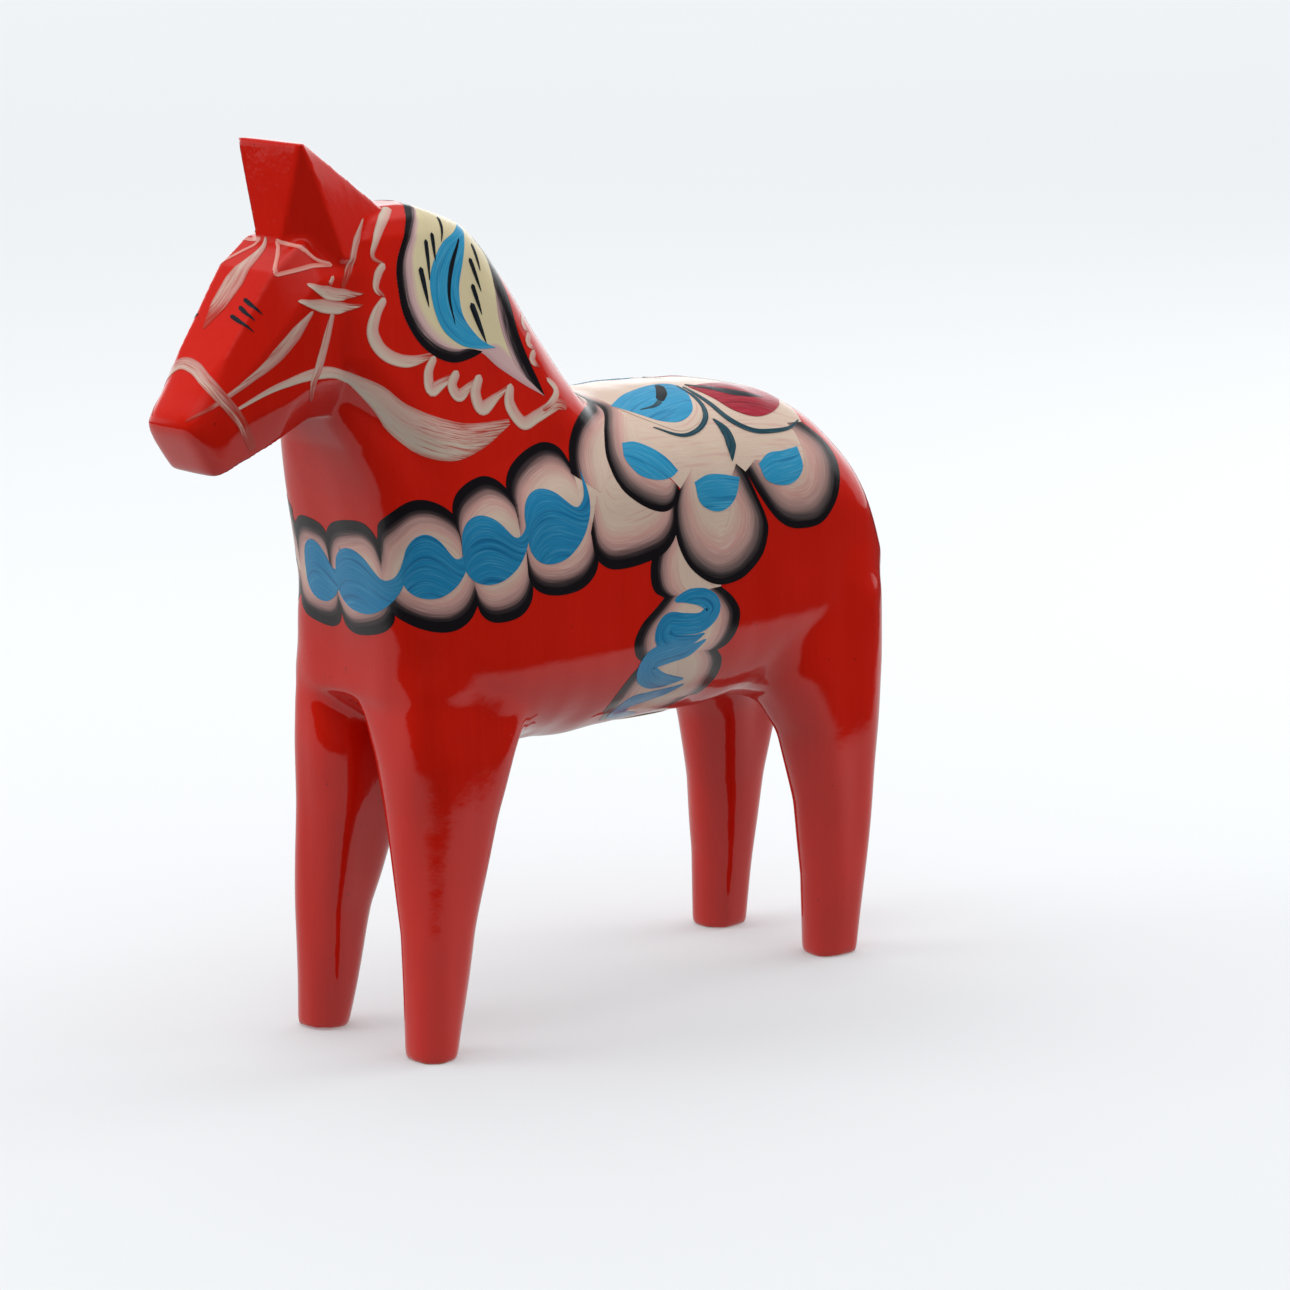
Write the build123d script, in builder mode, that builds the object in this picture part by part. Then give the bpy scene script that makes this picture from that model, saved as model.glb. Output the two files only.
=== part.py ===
"""A standing Dala horse, 330 mm tall, carved from a glued-up pine blank.

The blank is three 28 mm boards, face to face. Each board is edge-glued from five upright staves, so
that the grain runs down the legs. The horse is carved from the finished blank, so every stave is the
part of the carved form that its own piece of timber holds. A paper label is stuck under the belly.

Frame: millimetres, +Z up. The origin is on the floor, at the centre of the horse's overall box. The
horse faces -Y, and its left side is +X.
"""

from build123d import *

import os
from math import cos, radians, sin

# Driving dimensions
height = 330.0  # floor to ear tips
length = 332.0  # muzzle to rump
foot_span = 206.0  # fore foot centre to hind foot centre
foot_spread = 60.0  # left foot centre to right foot centre
foot_size = 19.0  # each foot, across and fore and aft
board = 28.0  # thickness of one board of the blank
stave = 61.0  # width of one stave
joint_stagger = 12.0  # the middle board's glue joints are this far ahead of the outer boards'
arch_lean = 10.0  # how far the top of the arch between the forelegs is cut to the right
label_length = 38.0
label_width = 24.0
label_thickness = 0.3

# Planes across the length of the horse
muzzle = -length / 2
rump = length / 2
fore_foot = muzzle + 95
hind_foot = fore_foot + foot_span
saddle = fore_foot + foot_span / 2
chest = fore_foot - foot_size / 2 - 2.5
half_width = 1.5 * board

# Heights
belly = 0.312 * height
back = 0.686 * height
throat = 0.67 * height
ear_base = 0.876 * height

# Legs, at the floor
leg_inner = (foot_spread - foot_size) / 2
leg_outer = (foot_spread + foot_size) / 2


def rounded(width, depth, radius):
    """A rounded rectangle, kept just short of a slot, so that every section has the same edges."""
    RectangleRounded(width, depth, min(radius, 0.495 * min(width, depth)))


def trunk_form(skin=0.0):
    """The barrel, chest to rump, grown outward by skin."""
    stations = [  # along Y: half width, underside, top, corner radius
        (chest + 3, 31, belly + 25, back - 34, 20),
        (chest + 26, 38.5, belly + 12, back - 13, 28),
        (saddle - 50, 41.5, belly + 2, back, 36),
        (saddle, half_width, belly, back + 2, 39),
        (saddle + 48, half_width, belly - 0.5, back, 39),
        (hind_foot - 19, 41, belly + 3, back - 7, 37),
        (hind_foot + 1, 39, belly + 11, back - 19, 33),
        (hind_foot + 17, 35, belly + 22, back - 36, 28),
        (hind_foot + 26, 30, belly + 30, back - 52, 22),
        (rump, 23, belly + 38, back - 67, 16),
    ]
    with BuildPart() as trunk:
        for y, half, low, high, radius in stations:
            with BuildSketch(Plane.XZ.offset(-y)):
                with Locations((0, (low + high) / 2)):
                    rounded(2 * (half + skin), high - low + 2 * skin, radius + skin)
        loft()
    return trunk.part


def upright_form(stations):
    """A form with level sections, given as height, x limits, y limits and corner radius."""
    with BuildPart() as form:
        for z, x_low, x_high, y_low, y_high, radius in stations:
            with BuildSketch(Plane.XY.offset(z)):
                with Locations(((x_low + x_high) / 2, (y_low + y_high) / 2)):
                    rounded(x_high - x_low, y_high - y_low, radius)
        loft(ruled=True)
    return form.part


def foreleg_form(lean):
    """The left foreleg, from the foot up into the shoulder; lean moves the arch towards it or away."""
    toe = fore_foot - foot_size / 2
    heel = fore_foot + foot_size / 2
    return upright_form([
        (0, leg_inner, leg_outer, toe, heel - 2, 8),
        (45, leg_inner - 3, leg_outer, toe - 0.9, heel + 8, 10),
        (85, leg_inner - 11.3 + 0.1 * lean, leg_outer - 0.5, toe - 1.3, heel + 20.5, 12),
        (108, leg_inner - 14 + 0.25 * lean, leg_outer - 0.6, chest + 0.5, heel + 29, 12),
        (122, leg_inner - 14 + 0.65 * lean, leg_outer - 2, chest + 0.9, heel + 36, 10),
        (130, leg_inner - 16 + lean, leg_outer - 2.5, chest + 1.1, heel + 40, 10),
        (137, 2, leg_outer - 3, chest + 1.4, heel + 43, 11),
        (165, 2, leg_outer - 7.5, chest + 5, heel + 49, 14),
        (190, 2, leg_outer - 14.5, chest + 11, heel + 49, 11),
    ])


def hindleg_form():
    """The left hind leg, from the foot up into the haunch."""
    toe = hind_foot - foot_size / 2
    heel = hind_foot + foot_size / 2
    return upright_form([
        (0, leg_inner, leg_outer, toe - 1, heel + 1, 8),
        (30, leg_inner - 1.5, leg_outer + 0.6, toe - 2, heel + 5, 10),
        (60, leg_inner - 3, leg_outer + 1, toe - 5.5, heel + 9, 13),
        (88, leg_inner - 7, leg_outer + 1.2, toe - 12, heel + 13, 16),
        (112, leg_inner - 14, leg_outer + 1, toe - 26, heel + 17, 18),
        (140, 2, leg_outer + 0.5, toe - 30, heel + 19, 19),
        (172, 2, leg_outer - 13.5, toe - 30, heel + 10, 12),
    ])


def breast_form():
    """The swell of the breast, which carries the throat down to the forelegs."""
    rear = chest + 35
    return upright_form([
        (130, -28, 28, chest - 0.5, rear, 10),
        (150, -32, 32, chest - 1.2, rear, 15),
        (188, -33, 33, chest - 6, rear, 14),
        (207, -32, 32, chest - 10, rear, 14),
        (222, -29, 29, chest - 14, rear - 5, 15),
        (238, -22, 22, chest - 22, rear - 10, 15),
    ])


def neck_form():
    """The neck, from inside the chest up to the poll."""
    return upright_form([
        (150, -32, 32, chest + 1, saddle - 36, 16),
        (190, -37, 37, chest, saddle - 17, 24),
        (throat, -34.5, 34.5, chest - 5, saddle - 11, 27),
        (240, -30.5, 30.5, chest - 20, saddle - 27, 25),
        (255, -27.5, 27.5, chest - 29, saddle - 37.5, 23),
        (270, -25, 25, chest - 30, saddle - 47.5, 21),
        (285, -22, 22, chest - 26, saddle - 58, 19),
        (295, -19, 19, chest - 20, saddle - 67.5, 17),
        (301, -15, 15, chest - 12, saddle - 79, 13),
        (304.5, -8, 8, chest - 3, saddle - 90, 6),
    ])


def head_form():
    """The head, an eight-sided taper, cut off by the sloping end of the muzzle."""
    nose = 237  # height of the foremost edge
    end_lean = radians(33.4)  # the end of the muzzle leans back from upright, going down
    stations = [  # along Y: bridge half width and top, cheek half width, top and foot, jaw half width, foot
        (muzzle + 94, 9, 300, 17, 288, 246, 12, 234),
        (muzzle + 51, 14.5, 296, 24, 283, 249, 16.5, 235),
        (muzzle + 38, 14, 287, 22.5, 270, 243, 16, 229),
        (muzzle + 24, 13, 268, 18.5, 255, 238, 14.5, 223),
        (muzzle + 8, 12, 246, 15, 238, 229, 12, 215),
        (muzzle, 11.6, nose, 14, 230, 223, 11.5, 212),
        (muzzle - 6, 11, nose - 9, 13, 224, 217, 11, 210),
    ]
    with BuildPart() as head:
        for y, bridge, top, cheek, cheek_top, cheek_foot, jaw, low in stations:
            with BuildSketch(Plane.XZ.offset(-y)):
                with BuildLine():
                    Polyline(
                        (bridge, top),
                        (cheek, cheek_top),
                        (cheek, cheek_foot),
                        (jaw, low),
                        (-jaw, low),
                        (-cheek, cheek_foot),
                        (-cheek, cheek_top),
                        (-bridge, top),
                        close=True,
                    )
                make_face()
        loft(ruled=True)
        split(bisect_by=Plane(origin=(0, muzzle, nose), z_dir=(0, cos(end_lean), sin(end_lean))))
    return head.part


def ear_form():
    """The ears, one wedge with a straight top edge, a wide front face and a slope down to the poll."""
    front = fore_foot - 46
    stations = [  # height: front half width and y, side half width and y, rear half width and y
        (ear_base, 4.2, front - 0.6, 22, front + 15, 8, front + 65),
        (height, 16.8, front, 16.4, front + 1.6, 13.8, front + 4),
    ]
    with BuildPart() as ears:
        for z, front_half, front_y, side_half, side_y, rear_half, rear_y in stations:
            with BuildSketch(Plane.XY.offset(z)):
                with BuildLine():
                    Polyline(
                        (front_half, front_y),
                        (side_half, side_y),
                        (rear_half, rear_y),
                        (-rear_half, rear_y),
                        (-side_half, side_y),
                        (-front_half, front_y),
                        close=True,
                    )
                make_face()
        loft(ruled=True)
    return ears.part


# The whole carved form, before it is divided between the staves
trunk = trunk_form()
left_foreleg = foreleg_form(-arch_lean)
right_foreleg = foreleg_form(arch_lean)
hindleg = hindleg_form()
breast = breast_form()
neck = neck_form()
head = head_form()
ears = ear_form()
with BuildPart() as horse:
    add([trunk, left_foreleg, hindleg, breast, neck, head, ears])
    mirror(right_foreleg, about=Plane.YZ)
    mirror(hindleg, about=Plane.YZ)

os.makedirs("parts", exist_ok=True)

# Staves: each is the carved form inside one upright length of timber
first_joint = saddle - 2 * stave
outer_joints = [first_joint + n * stave for n in range(4)]
centre_joints = [y - joint_stagger for y in outer_joints]
outer_names = ["head", "foreleg", "rib", "loin", "hindleg"]
centre_names = ["head", "chest", "rib", "loin", "rump"]
sawn_half = half_width + 2  # half width of the blank, with its carving allowance
for side, x_low, x_high, joints, names in [
    ("left", board / 2, sawn_half, outer_joints, outer_names),
    ("centre", -board / 2, board / 2, centre_joints, centre_names),
    ("right", -sawn_half, -board / 2, outer_joints, outer_names),
]:
    ends = [muzzle - 2, *joints, rump + 2]
    for name, y_low, y_high in zip(names, ends, ends[1:]):
        label = f"{side}_{name}_stave"
        with BuildPart() as piece:
            with BuildSketch():
                with Locations(((x_low + x_high) / 2, (y_low + y_high) / 2)):
                    Rectangle(x_high - x_low, y_high - y_low)
            extrude(amount=height)
            add(horse.part, mode=Mode.INTERSECT)
        piece.part.label = label
        export_step(piece.part, f"parts/{label}.step")

# Label: a blank oval of paper stuck to the underside of the barrel
with BuildPart() as belly_label:
    with BuildSketch(Plane.XY.offset(belly - 5)):
        with Locations((0, saddle + 22)):
            Ellipse(label_width / 2, label_length / 2)
    extrude(amount=15)
    add(trunk_form(skin=label_thickness), mode=Mode.INTERSECT)
    add(trunk, mode=Mode.SUBTRACT)
belly_label.part.label = "belly_label"
export_step(belly_label.part, "parts/belly_label.step")
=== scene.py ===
"""Looks of a carved and painted folk-art horse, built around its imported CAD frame.

The carved body is one smooth skin grown from the CAD staves and then cut back into staves at the
glue joints. The paint is thin closed sheets laid on that skin, each following its own brush stroke.
Lengths in this file are millimetres unless a name says otherwise; meshes are written in metres.
"""

import math

import bmesh
import bpy
import numpy as np
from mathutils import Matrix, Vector, noise
from mathutils.bvhtree import BVHTree


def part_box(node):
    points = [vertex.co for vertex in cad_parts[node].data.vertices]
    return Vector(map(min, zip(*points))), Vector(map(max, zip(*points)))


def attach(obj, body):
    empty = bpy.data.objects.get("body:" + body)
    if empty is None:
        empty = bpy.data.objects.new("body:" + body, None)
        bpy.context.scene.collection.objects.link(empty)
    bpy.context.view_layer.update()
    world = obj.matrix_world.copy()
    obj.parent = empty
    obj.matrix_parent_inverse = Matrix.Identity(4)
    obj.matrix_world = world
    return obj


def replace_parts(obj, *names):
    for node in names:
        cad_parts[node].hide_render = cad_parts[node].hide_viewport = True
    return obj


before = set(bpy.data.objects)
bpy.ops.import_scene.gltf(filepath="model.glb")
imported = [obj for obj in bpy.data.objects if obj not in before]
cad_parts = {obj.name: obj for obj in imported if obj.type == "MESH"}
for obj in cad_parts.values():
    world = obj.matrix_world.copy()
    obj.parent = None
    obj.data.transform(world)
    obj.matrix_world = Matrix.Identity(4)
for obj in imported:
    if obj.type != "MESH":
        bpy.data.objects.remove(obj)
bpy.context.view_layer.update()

MM = 0.001
LABEL = "belly_label"
COARSE, FINE = 3.1, 0.97    # voxels of the body's two remeshes: to fill its creases, and for the skin
STEP = 1.15                 # spacing of a paint sheet's grid
ALONG, ACROSS = 0.8, 0.9    # spacing of a ribbon's grid
SINK = 0.25                 # depth of a paint sheet's underside below the skin
LAYER = 0.004               # each sheet of a painted piece lies this much higher than the one before
WELD, SLIVER = 0.02, 0.005  # vertices and edges of a sheet that are merged away
BREAST_EDGE = 22            # half the width of the breast at its front corner
GOLDEN = 0.618034           # spreads the strokes' seeds evenly

wood_nodes = [name for name in sorted(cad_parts) if name != LABEL]


# -------------------- mesh helpers

def mesh_from(name, verts, faces):
    mesh = bpy.data.meshes.new(name)
    mesh.from_pydata([tuple(v) for v in verts], [], [tuple(f) for f in faces])
    mesh.update()
    return mesh


def place(name, data):
    obj = bpy.data.objects.new(name, data)
    bpy.context.scene.collection.objects.link(obj)
    return obj


def store(mesh, name, vectors):
    """Store a vector at each vertex."""
    layer = mesh.attributes.new(name, "FLOAT_VECTOR", "POINT")
    layer.data.foreach_set("vector", vectors.astype(np.float32).ravel())


def mark_tops(mesh, flags):
    """Store which faces are seen on the skin; the others are hidden or cut."""
    layer = mesh.attributes.new("top", "INT", "FACE")
    layer.data.foreach_set("value", flags.astype(np.int32))


def remeshed(mesh, voxel_mm):
    """The mesh's outer surface as an even grid of quads: vertices in mm and the quads."""
    obj = place("remesh_work", mesh)
    modifier = obj.modifiers.new("voxels", "REMESH")
    modifier.mode = "VOXEL"
    modifier.voxel_size = voxel_mm * MM
    modifier.adaptivity = 0.0
    shown = obj.evaluated_get(bpy.context.evaluated_depsgraph_get())
    result = bpy.data.meshes.new_from_object(shown)
    co = np.zeros(len(result.vertices) * 3)
    result.vertices.foreach_get("co", co)
    corner = np.zeros(len(result.loops), int)
    result.loops.foreach_get("vertex_index", corner)
    bpy.data.objects.remove(obj)
    bpy.data.meshes.remove(result)
    return co.reshape(-1, 3) / MM, corner.reshape(-1, 4)


def vertex_normals(co, quads):
    area = np.cross(co[quads[:, 2]] - co[quads[:, 0]], co[quads[:, 3]] - co[quads[:, 1]])
    total = np.zeros_like(co)
    for k in range(4):
        for axis in range(3):
            total[:, axis] += np.bincount(quads[:, k], area[:, axis], len(co))
    return total / np.maximum(np.linalg.norm(total, axis=1), 1e-9)[:, None]


class Neighbours:
    """Mean of each vertex's neighbours along the quads' edges."""

    def __init__(self, quads, count):
        pairs = np.vstack([quads[:, [k, (k + 1) % 4]] for k in range(4)])
        pairs = np.unique(np.sort(pairs, axis=1), axis=0)
        self.start = np.concatenate([pairs[:, 0], pairs[:, 1]])
        self.end = np.concatenate([pairs[:, 1], pairs[:, 0]])
        self.count = count
        self.degree = np.maximum(np.bincount(self.start, minlength=count), 1)

    def mean(self, co):
        totals = [np.bincount(self.start, co[self.end, axis], self.count) for axis in range(3)]
        return np.stack(totals, axis=1) / self.degree[:, None]


def ease(low, high, value):
    t = np.clip((value - low) / (high - low), 0, 1)
    return t * t * (3 - 2 * t)


# -------------------- carved skin

def wood_mesh(extra=None):
    joined = bmesh.new()
    for name in wood_nodes:
        joined.from_mesh(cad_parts[name].data)
    if extra is not None:
        joined.from_mesh(extra)
    mesh = bpy.data.meshes.new("wood_join")
    joined.to_mesh(mesh)
    joined.free()
    return mesh


def head_share(co):
    """1 on the head and ears, where the knife left crisp edges, and 0 on the body."""
    return ease(205, 225, co[:, 2]) * ease(-52, -72, co[:, 1])


def filled_creases():
    """The body with its inner corners rounded out, as a carver leaves them."""
    co, quads = remeshed(wood_mesh(), COARSE)
    links = Neighbours(quads, len(co))
    start = co.copy()
    x, y, z = co.T
    throat = ease(196, 206, z) * ease(-40, -60, y)
    arch_zone = ease(26, 18, np.abs(x)) * ease(-40, -56, y) * ease(92, 104, z)
    allowed = (1 - np.maximum(head_share(co), throat)) * (1 - 0.9 * arch_zone)
    haunch = ease(108, 122, y) * ease(60, 80, z)
    everywhere_steps, steps = 26, 70
    for step in range(steps):
        if step == everywhere_steps:
            allowed = haunch
        normal = vertex_normals(co, quads)
        outward = np.einsum("ij,ij->i", links.mean(co) - co, normal)
        co += normal * (np.maximum(outward, 0) * allowed)[:, None]
    x, y, z = co.T
    dip = ease(12, 24, np.abs(x)) * ease(122, 144, y) * ease(130, 146, z) * ease(168, 152, z)
    shoulder = ease(14, 26, np.abs(x)) * ease(-56, -68, y) * ease(126, 140, z) * ease(168, 154, z)
    normal = vertex_normals(co, quads)
    co += normal * (0.9 * dip + 2.0 * shoulder)[:, None]
    grown = np.linalg.norm(co - start, axis=1)
    co -= normal * (0.7 * (1 - ease(0.15, 0.9, grown)))[:, None]
    return mesh_from("creases", co * MM, quads)


def carved(co, normal):
    """Shallow marks of the knife: long hollows down the legs, short ones on the body."""
    label_low, label_high = (np.array(corner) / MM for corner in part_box(LABEL))
    out = np.zeros(len(co))
    for i, (x, y, z) in enumerate(co):
        hollows = noise.noise(Vector((x / 13, y / 14, z / 60)))
        facets = noise.noise(Vector((x / 26 + 9, y / 30, z / 27)))
        out[i] = (0.6 + 0.6 * ease(120, 90, z)) * hollows + 0.35 * facets
    out *= 1 - 0.75 * head_share(co)
    beside = np.maximum(label_low[:2] - co[:, :2], co[:, :2] - label_high[:2]).max(axis=1)
    under = (1 - ease(1, 12, beside)) * (co[:, 2] < label_high[2] + 6)
    return co + normal * (out * (1 - under) - 0.16 * under)[:, None]


def body_skin():
    co, quads = remeshed(wood_mesh(filled_creases()), FINE)
    links = Neighbours(quads, len(co))
    x, y, z = co.T
    head = head_share(co)
    body = (1 - head) * (0.35 + 0.65 * ease(20, 75, z))
    breast = (1 - head) * ease(-48, -66, y) * ease(126, 146, z) * ease(228, 205, z)
    snout = ease(-147, -158, y)
    first_steps, body_steps, steps = 3, 26, 110
    for step in range(steps):
        soft = np.maximum(breast, 0.7 * snout)
        if step < body_steps:
            soft = np.maximum(soft, body)
        if step < first_steps:
            soft = np.maximum(soft, 0.4)
        co = co + (0.55 * soft)[:, None] * (links.mean(co) - co)
    co = carved(co, vertex_normals(co, quads))
    co[:, 2] = np.maximum(co[:, 2], 0)
    return co, quads, vertex_normals(co, quads)


skin_co, skin_quads, skin_normal = body_skin()
tree = BVHTree.FromPolygons([Vector(v) for v in skin_co], [tuple(q) for q in skin_quads.tolist()])


def settle(points):
    """Each point's nearest place on the skin, with the skin's smooth normal there."""
    spots = np.zeros((len(points), 3))
    normals = np.zeros((len(points), 3))
    for i, point in enumerate(points):
        spot, _, face, _ = tree.find_nearest(Vector(point))
        spots[i] = spot
        corners = skin_quads[face]
        reach = np.linalg.norm(skin_co[corners] - spots[i], axis=1) + 0.05
        blend = (skin_normal[corners] / (reach * reach)[:, None]).sum(axis=0)
        normals[i] = blend / np.linalg.norm(blend)
    return spots, normals


# -------------------- brush strokes

def spline(points, count):
    """A smooth curve through the points, sampled evenly along its length."""
    p = np.asarray(points, float)
    ends = np.vstack([2 * p[0] - p[1], p, 2 * p[-1] - p[-2]])
    fine = []
    for k in range(len(p) - 1):
        a, b, c, d = ends[k:k + 4]
        for t in np.linspace(0, 1, 24, endpoint=False):
            fine.append(0.5 * (2 * b + (c - a) * t + (2 * a - 5 * b + 4 * c - d) * t * t
                               + (3 * b - a - 3 * c + d) * t ** 3))
    return even(np.array(fine + [p[-1]]), count)


def even(line, count):
    gaps = np.linalg.norm(np.diff(line, axis=0), axis=1)
    run = np.concatenate([[0], np.cumsum(gaps)])
    if run[-1] < 1e-6:
        return np.repeat(line[:1], count, axis=0)
    want = np.linspace(0, run[-1], count)
    return np.stack([np.interp(want, run, line[:, axis]) for axis in range(3)], axis=1)


def length_of(line):
    return np.linalg.norm(np.diff(line, axis=0), axis=1).sum()


def seen_from(start, direction):
    return tree.ray_cast(Vector(start), Vector(direction))[0]


def on_skin(points, side):
    """(y, z) as seen from the side, dropped onto that flank, or (x, y, z) moved to the nearest skin."""
    out = []
    for *across, y, z in points:
        if across:
            spot = tree.find_nearest(Vector((side * across[0], y, z)))[0]
        else:
            spot = seen_from((side * 90, y, z), (-side, 0, 0))
        # a point just ahead of the breast stays beside its edge
        out.append(Vector((side * BREAST_EDGE, y, z)) if spot is None else spot)
    return np.array(out)


def on_back(points, side):
    """(x, y) as seen from above, dropped onto the back."""
    return np.array([seen_from((side * x, y, 290), (0, 0, -1)) for x, y in points])


def on_chest(points, side):
    """(x, z) as seen from the front, dropped onto the chest."""
    return np.array([seen_from((side * x, -125, z), (0, 1, 0)) for x, z in points])


def dash(start, end):
    middle = tuple((a + b) / 2 for a, b in zip(start, end))
    return [start, middle, end]


def level_with(core, low, high, count):
    """Points along a core line, evenly spaced between two of its first coordinates."""
    return [(at, float(np.interp(at, *zip(*core)))) for at in np.linspace(low, high, count)]


def arch(start, end, rise, lean=0.0, fullness=0.72, count=9):
    """Points of a scallop from one cusp to the next; rise is up, or down if negative."""
    a, b = np.array(start, float), np.array(end, float)
    chord = b - a
    up = np.array([-chord[1], chord[0]]) / np.linalg.norm(chord)
    out = []
    for t in np.linspace(0, math.pi, count):
        c, s = math.cos(t), math.sin(t)
        along = 0.5 - 0.5 * math.copysign(abs(c) ** fullness, c)
        height = s ** fullness
        out.append(a + chord * (along + lean * height) + up * rise * height)
    return out


class Painting:
    """A painted piece: brush strokes laid on the skin, each a closed sheet."""

    def __init__(self, name, side=1):
        self.name, self.side = name, side
        self.verts, self.faces, self.normals = [], [], []
        self.stroke, self.share, self.slots, self.tops = [], [], [], []
        self.materials = []

    def lay(self, grid, lift, material, swell=(1, 1)):
        """grid[i][j] runs along the stroke and across it."""
        rows, columns = grid.shape[:2]
        settled = settle(grid.reshape(-1, 3))[0].reshape(grid.shape)
        evened = np.array([even(row, columns) for row in settled])
        grid, normal = (part.reshape(grid.shape) for part in settle(evened.reshape(-1, 3)))
        seed = (len(self.faces) * GOLDEN) % 1
        lift = lift + LAYER * (len(self.faces) + 1)
        base = sum(len(v) for v in self.verts)
        top = grid + normal * lift
        under = grid - normal * SINK
        flat = np.zeros((rows, columns))
        run, across = flat.copy(), flat.copy()
        run[1:] = np.cumsum(np.linalg.norm(np.diff(grid, axis=0), axis=2), axis=0)
        across[:, 1:] = np.cumsum(np.linalg.norm(np.diff(grid, axis=1), axis=2), axis=1)
        across /= np.linspace(*swell, rows)[:, None]
        stroke = np.stack([flat + run.mean(axis=1)[:, None], across, flat + seed], axis=2)
        shares = np.linspace(0, 1, rows)[:, None], np.linspace(0, 1, columns)
        share = np.stack([flat + shares[0], flat + shares[1], flat], axis=2)
        number = np.arange(rows * columns).reshape(rows, columns)
        low, high = number + base, number + base + rows * columns
        quads = np.stack([low[:-1, :-1], low[1:, :-1], low[1:, 1:], low[:-1, 1:]], axis=2).reshape(-1, 4)
        top, under, smooth = (part.reshape(-1, 3) for part in (top, under, normal))
        # the winding follows the skin's own outward side
        facing = 0.0
        for quad in quads[:: max(1, len(quads) // 40)] - base:
            a, b, c, d = top[quad]
            facing += np.dot(np.cross(c - a, d - b), smooth[quad[0]])
        rim_low = np.concatenate([low[:, 0], low[-1, 1:], low[-2::-1, -1], low[0, -2:0:-1]])
        rim_high = rim_low + rows * columns
        turn = np.roll(np.arange(len(rim_low)), -1)
        walls = np.stack([rim_low, rim_high, rim_high[turn], rim_low[turn]], axis=1)
        back = (quads + rows * columns)[:, ::-1]
        faces = np.vstack([quads, back, walls])
        if facing < 0:
            faces = faces[:, ::-1]
        self.verts += [top, under]
        self.normals += [smooth] * 2
        self.stroke += [stroke.reshape(-1, 3)] * 2
        self.share += [share.reshape(-1, 3)] * 2
        if material not in self.materials:
            self.materials.append(material)
        self.faces.append(faces)
        self.slots.append(np.full(len(faces), self.materials.index(material)))
        self.tops.append(np.arange(len(faces)) < len(quads))

    def sheet(self, outer, inner, lift, material, swell=(1, 1), drop=on_skin):
        """A sheet between the stroke's outer and inner edge."""
        edges = [drop(edge, self.side) for edge in (outer, inner)]
        rows = max(4, int(max(length_of(edge) for edge in edges) / STEP) + 1)
        crossings = np.stack([spline(edge, rows) for edge in edges], axis=1)
        columns = max(3, int(max(length_of(cross) for cross in crossings) / STEP) + 1)
        self.lay(np.array([even(cross, columns) for cross in crossings]), lift, material, swell)

    def ribbon(self, centre, widths, lift, material, drop=on_skin):
        """A single pull of the brush along a centre line, round at both ends."""
        line = drop(centre, self.side)
        rows = max(6, int(length_of(line) / ALONG) + 1)
        spots, normal = settle(even(settle(spline(line, rows))[0], rows))
        tangent = np.gradient(spots, axis=0)
        sideways = np.cross(normal, tangent)
        sideways /= np.maximum(np.linalg.norm(sideways, axis=1), 1e-9)[:, None]
        share = np.linspace(0, 1, rows)
        width = np.interp(share, np.linspace(0, 1, len(widths)), widths)
        total = length_of(spots)
        for away in (share * total, (1 - share) * total):
            half = np.maximum(width / 2, 0.1)
            width = width * np.sqrt(np.clip(1 - (1 - np.minimum(away / half, 1)) ** 2, 0.02, 1))
        columns = max(3, int(max(width) / ACROSS) + 1)
        spread = np.linspace(0.5, -0.5, columns)
        grid = spots[:, None, :] + sideways[:, None, :] * (width[:, None] * spread[None])[:, :, None]
        self.lay(grid, lift, material)

    def finish(self):
        mesh = mesh_from(self.name, np.vstack(self.verts) * MM, np.vstack(self.faces))
        for name, rows in (("stroke", self.stroke), ("share", self.share), ("skin_normal", self.normals)):
            store(mesh, name, np.vstack(rows))
        mark_tops(mesh, np.concatenate(self.tops))
        mesh.polygons.foreach_set("material_index", np.concatenate(self.slots).astype(np.int32))
        tidy = bmesh.new()
        tidy.from_mesh(mesh)
        bmesh.ops.remove_doubles(tidy, verts=tidy.verts, dist=WELD * MM)
        bmesh.ops.dissolve_degenerate(tidy, edges=tidy.edges, dist=SLIVER * MM)
        tidy.to_mesh(mesh)
        tidy.free()
        add_piece(self.name, mesh, self.materials)


def follow_skin(mesh):
    """Faces that show the skin take its smooth normals; the others stay flat."""
    shown = mesh.attributes["top"].data
    smooth = mesh.attributes["skin_normal"].data
    normals = [None] * len(mesh.loops)
    for polygon in mesh.polygons:
        for loop in polygon.loop_indices:
            if shown[polygon.index].value:
                normals[loop] = Vector(smooth[mesh.loops[loop].vertex_index].vector).normalized()
            else:
                normals[loop] = polygon.normal
    mesh.normals_split_custom_set(normals)


def add_piece(name, mesh, materials):
    for material in materials:
        mesh.materials.append(material)
    mesh.shade_smooth()
    follow_skin(mesh)
    obj = place(name, mesh)
    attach(obj, "root")
    return obj


# -------------------- materials

def srgb(red, green, blue):
    def linear(value):
        value /= 255
        return value / 12.92 if value <= 0.04045 else ((value + 0.055) / 1.055) ** 2.4
    return (linear(red), linear(green), linear(blue), 1.0)


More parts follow.
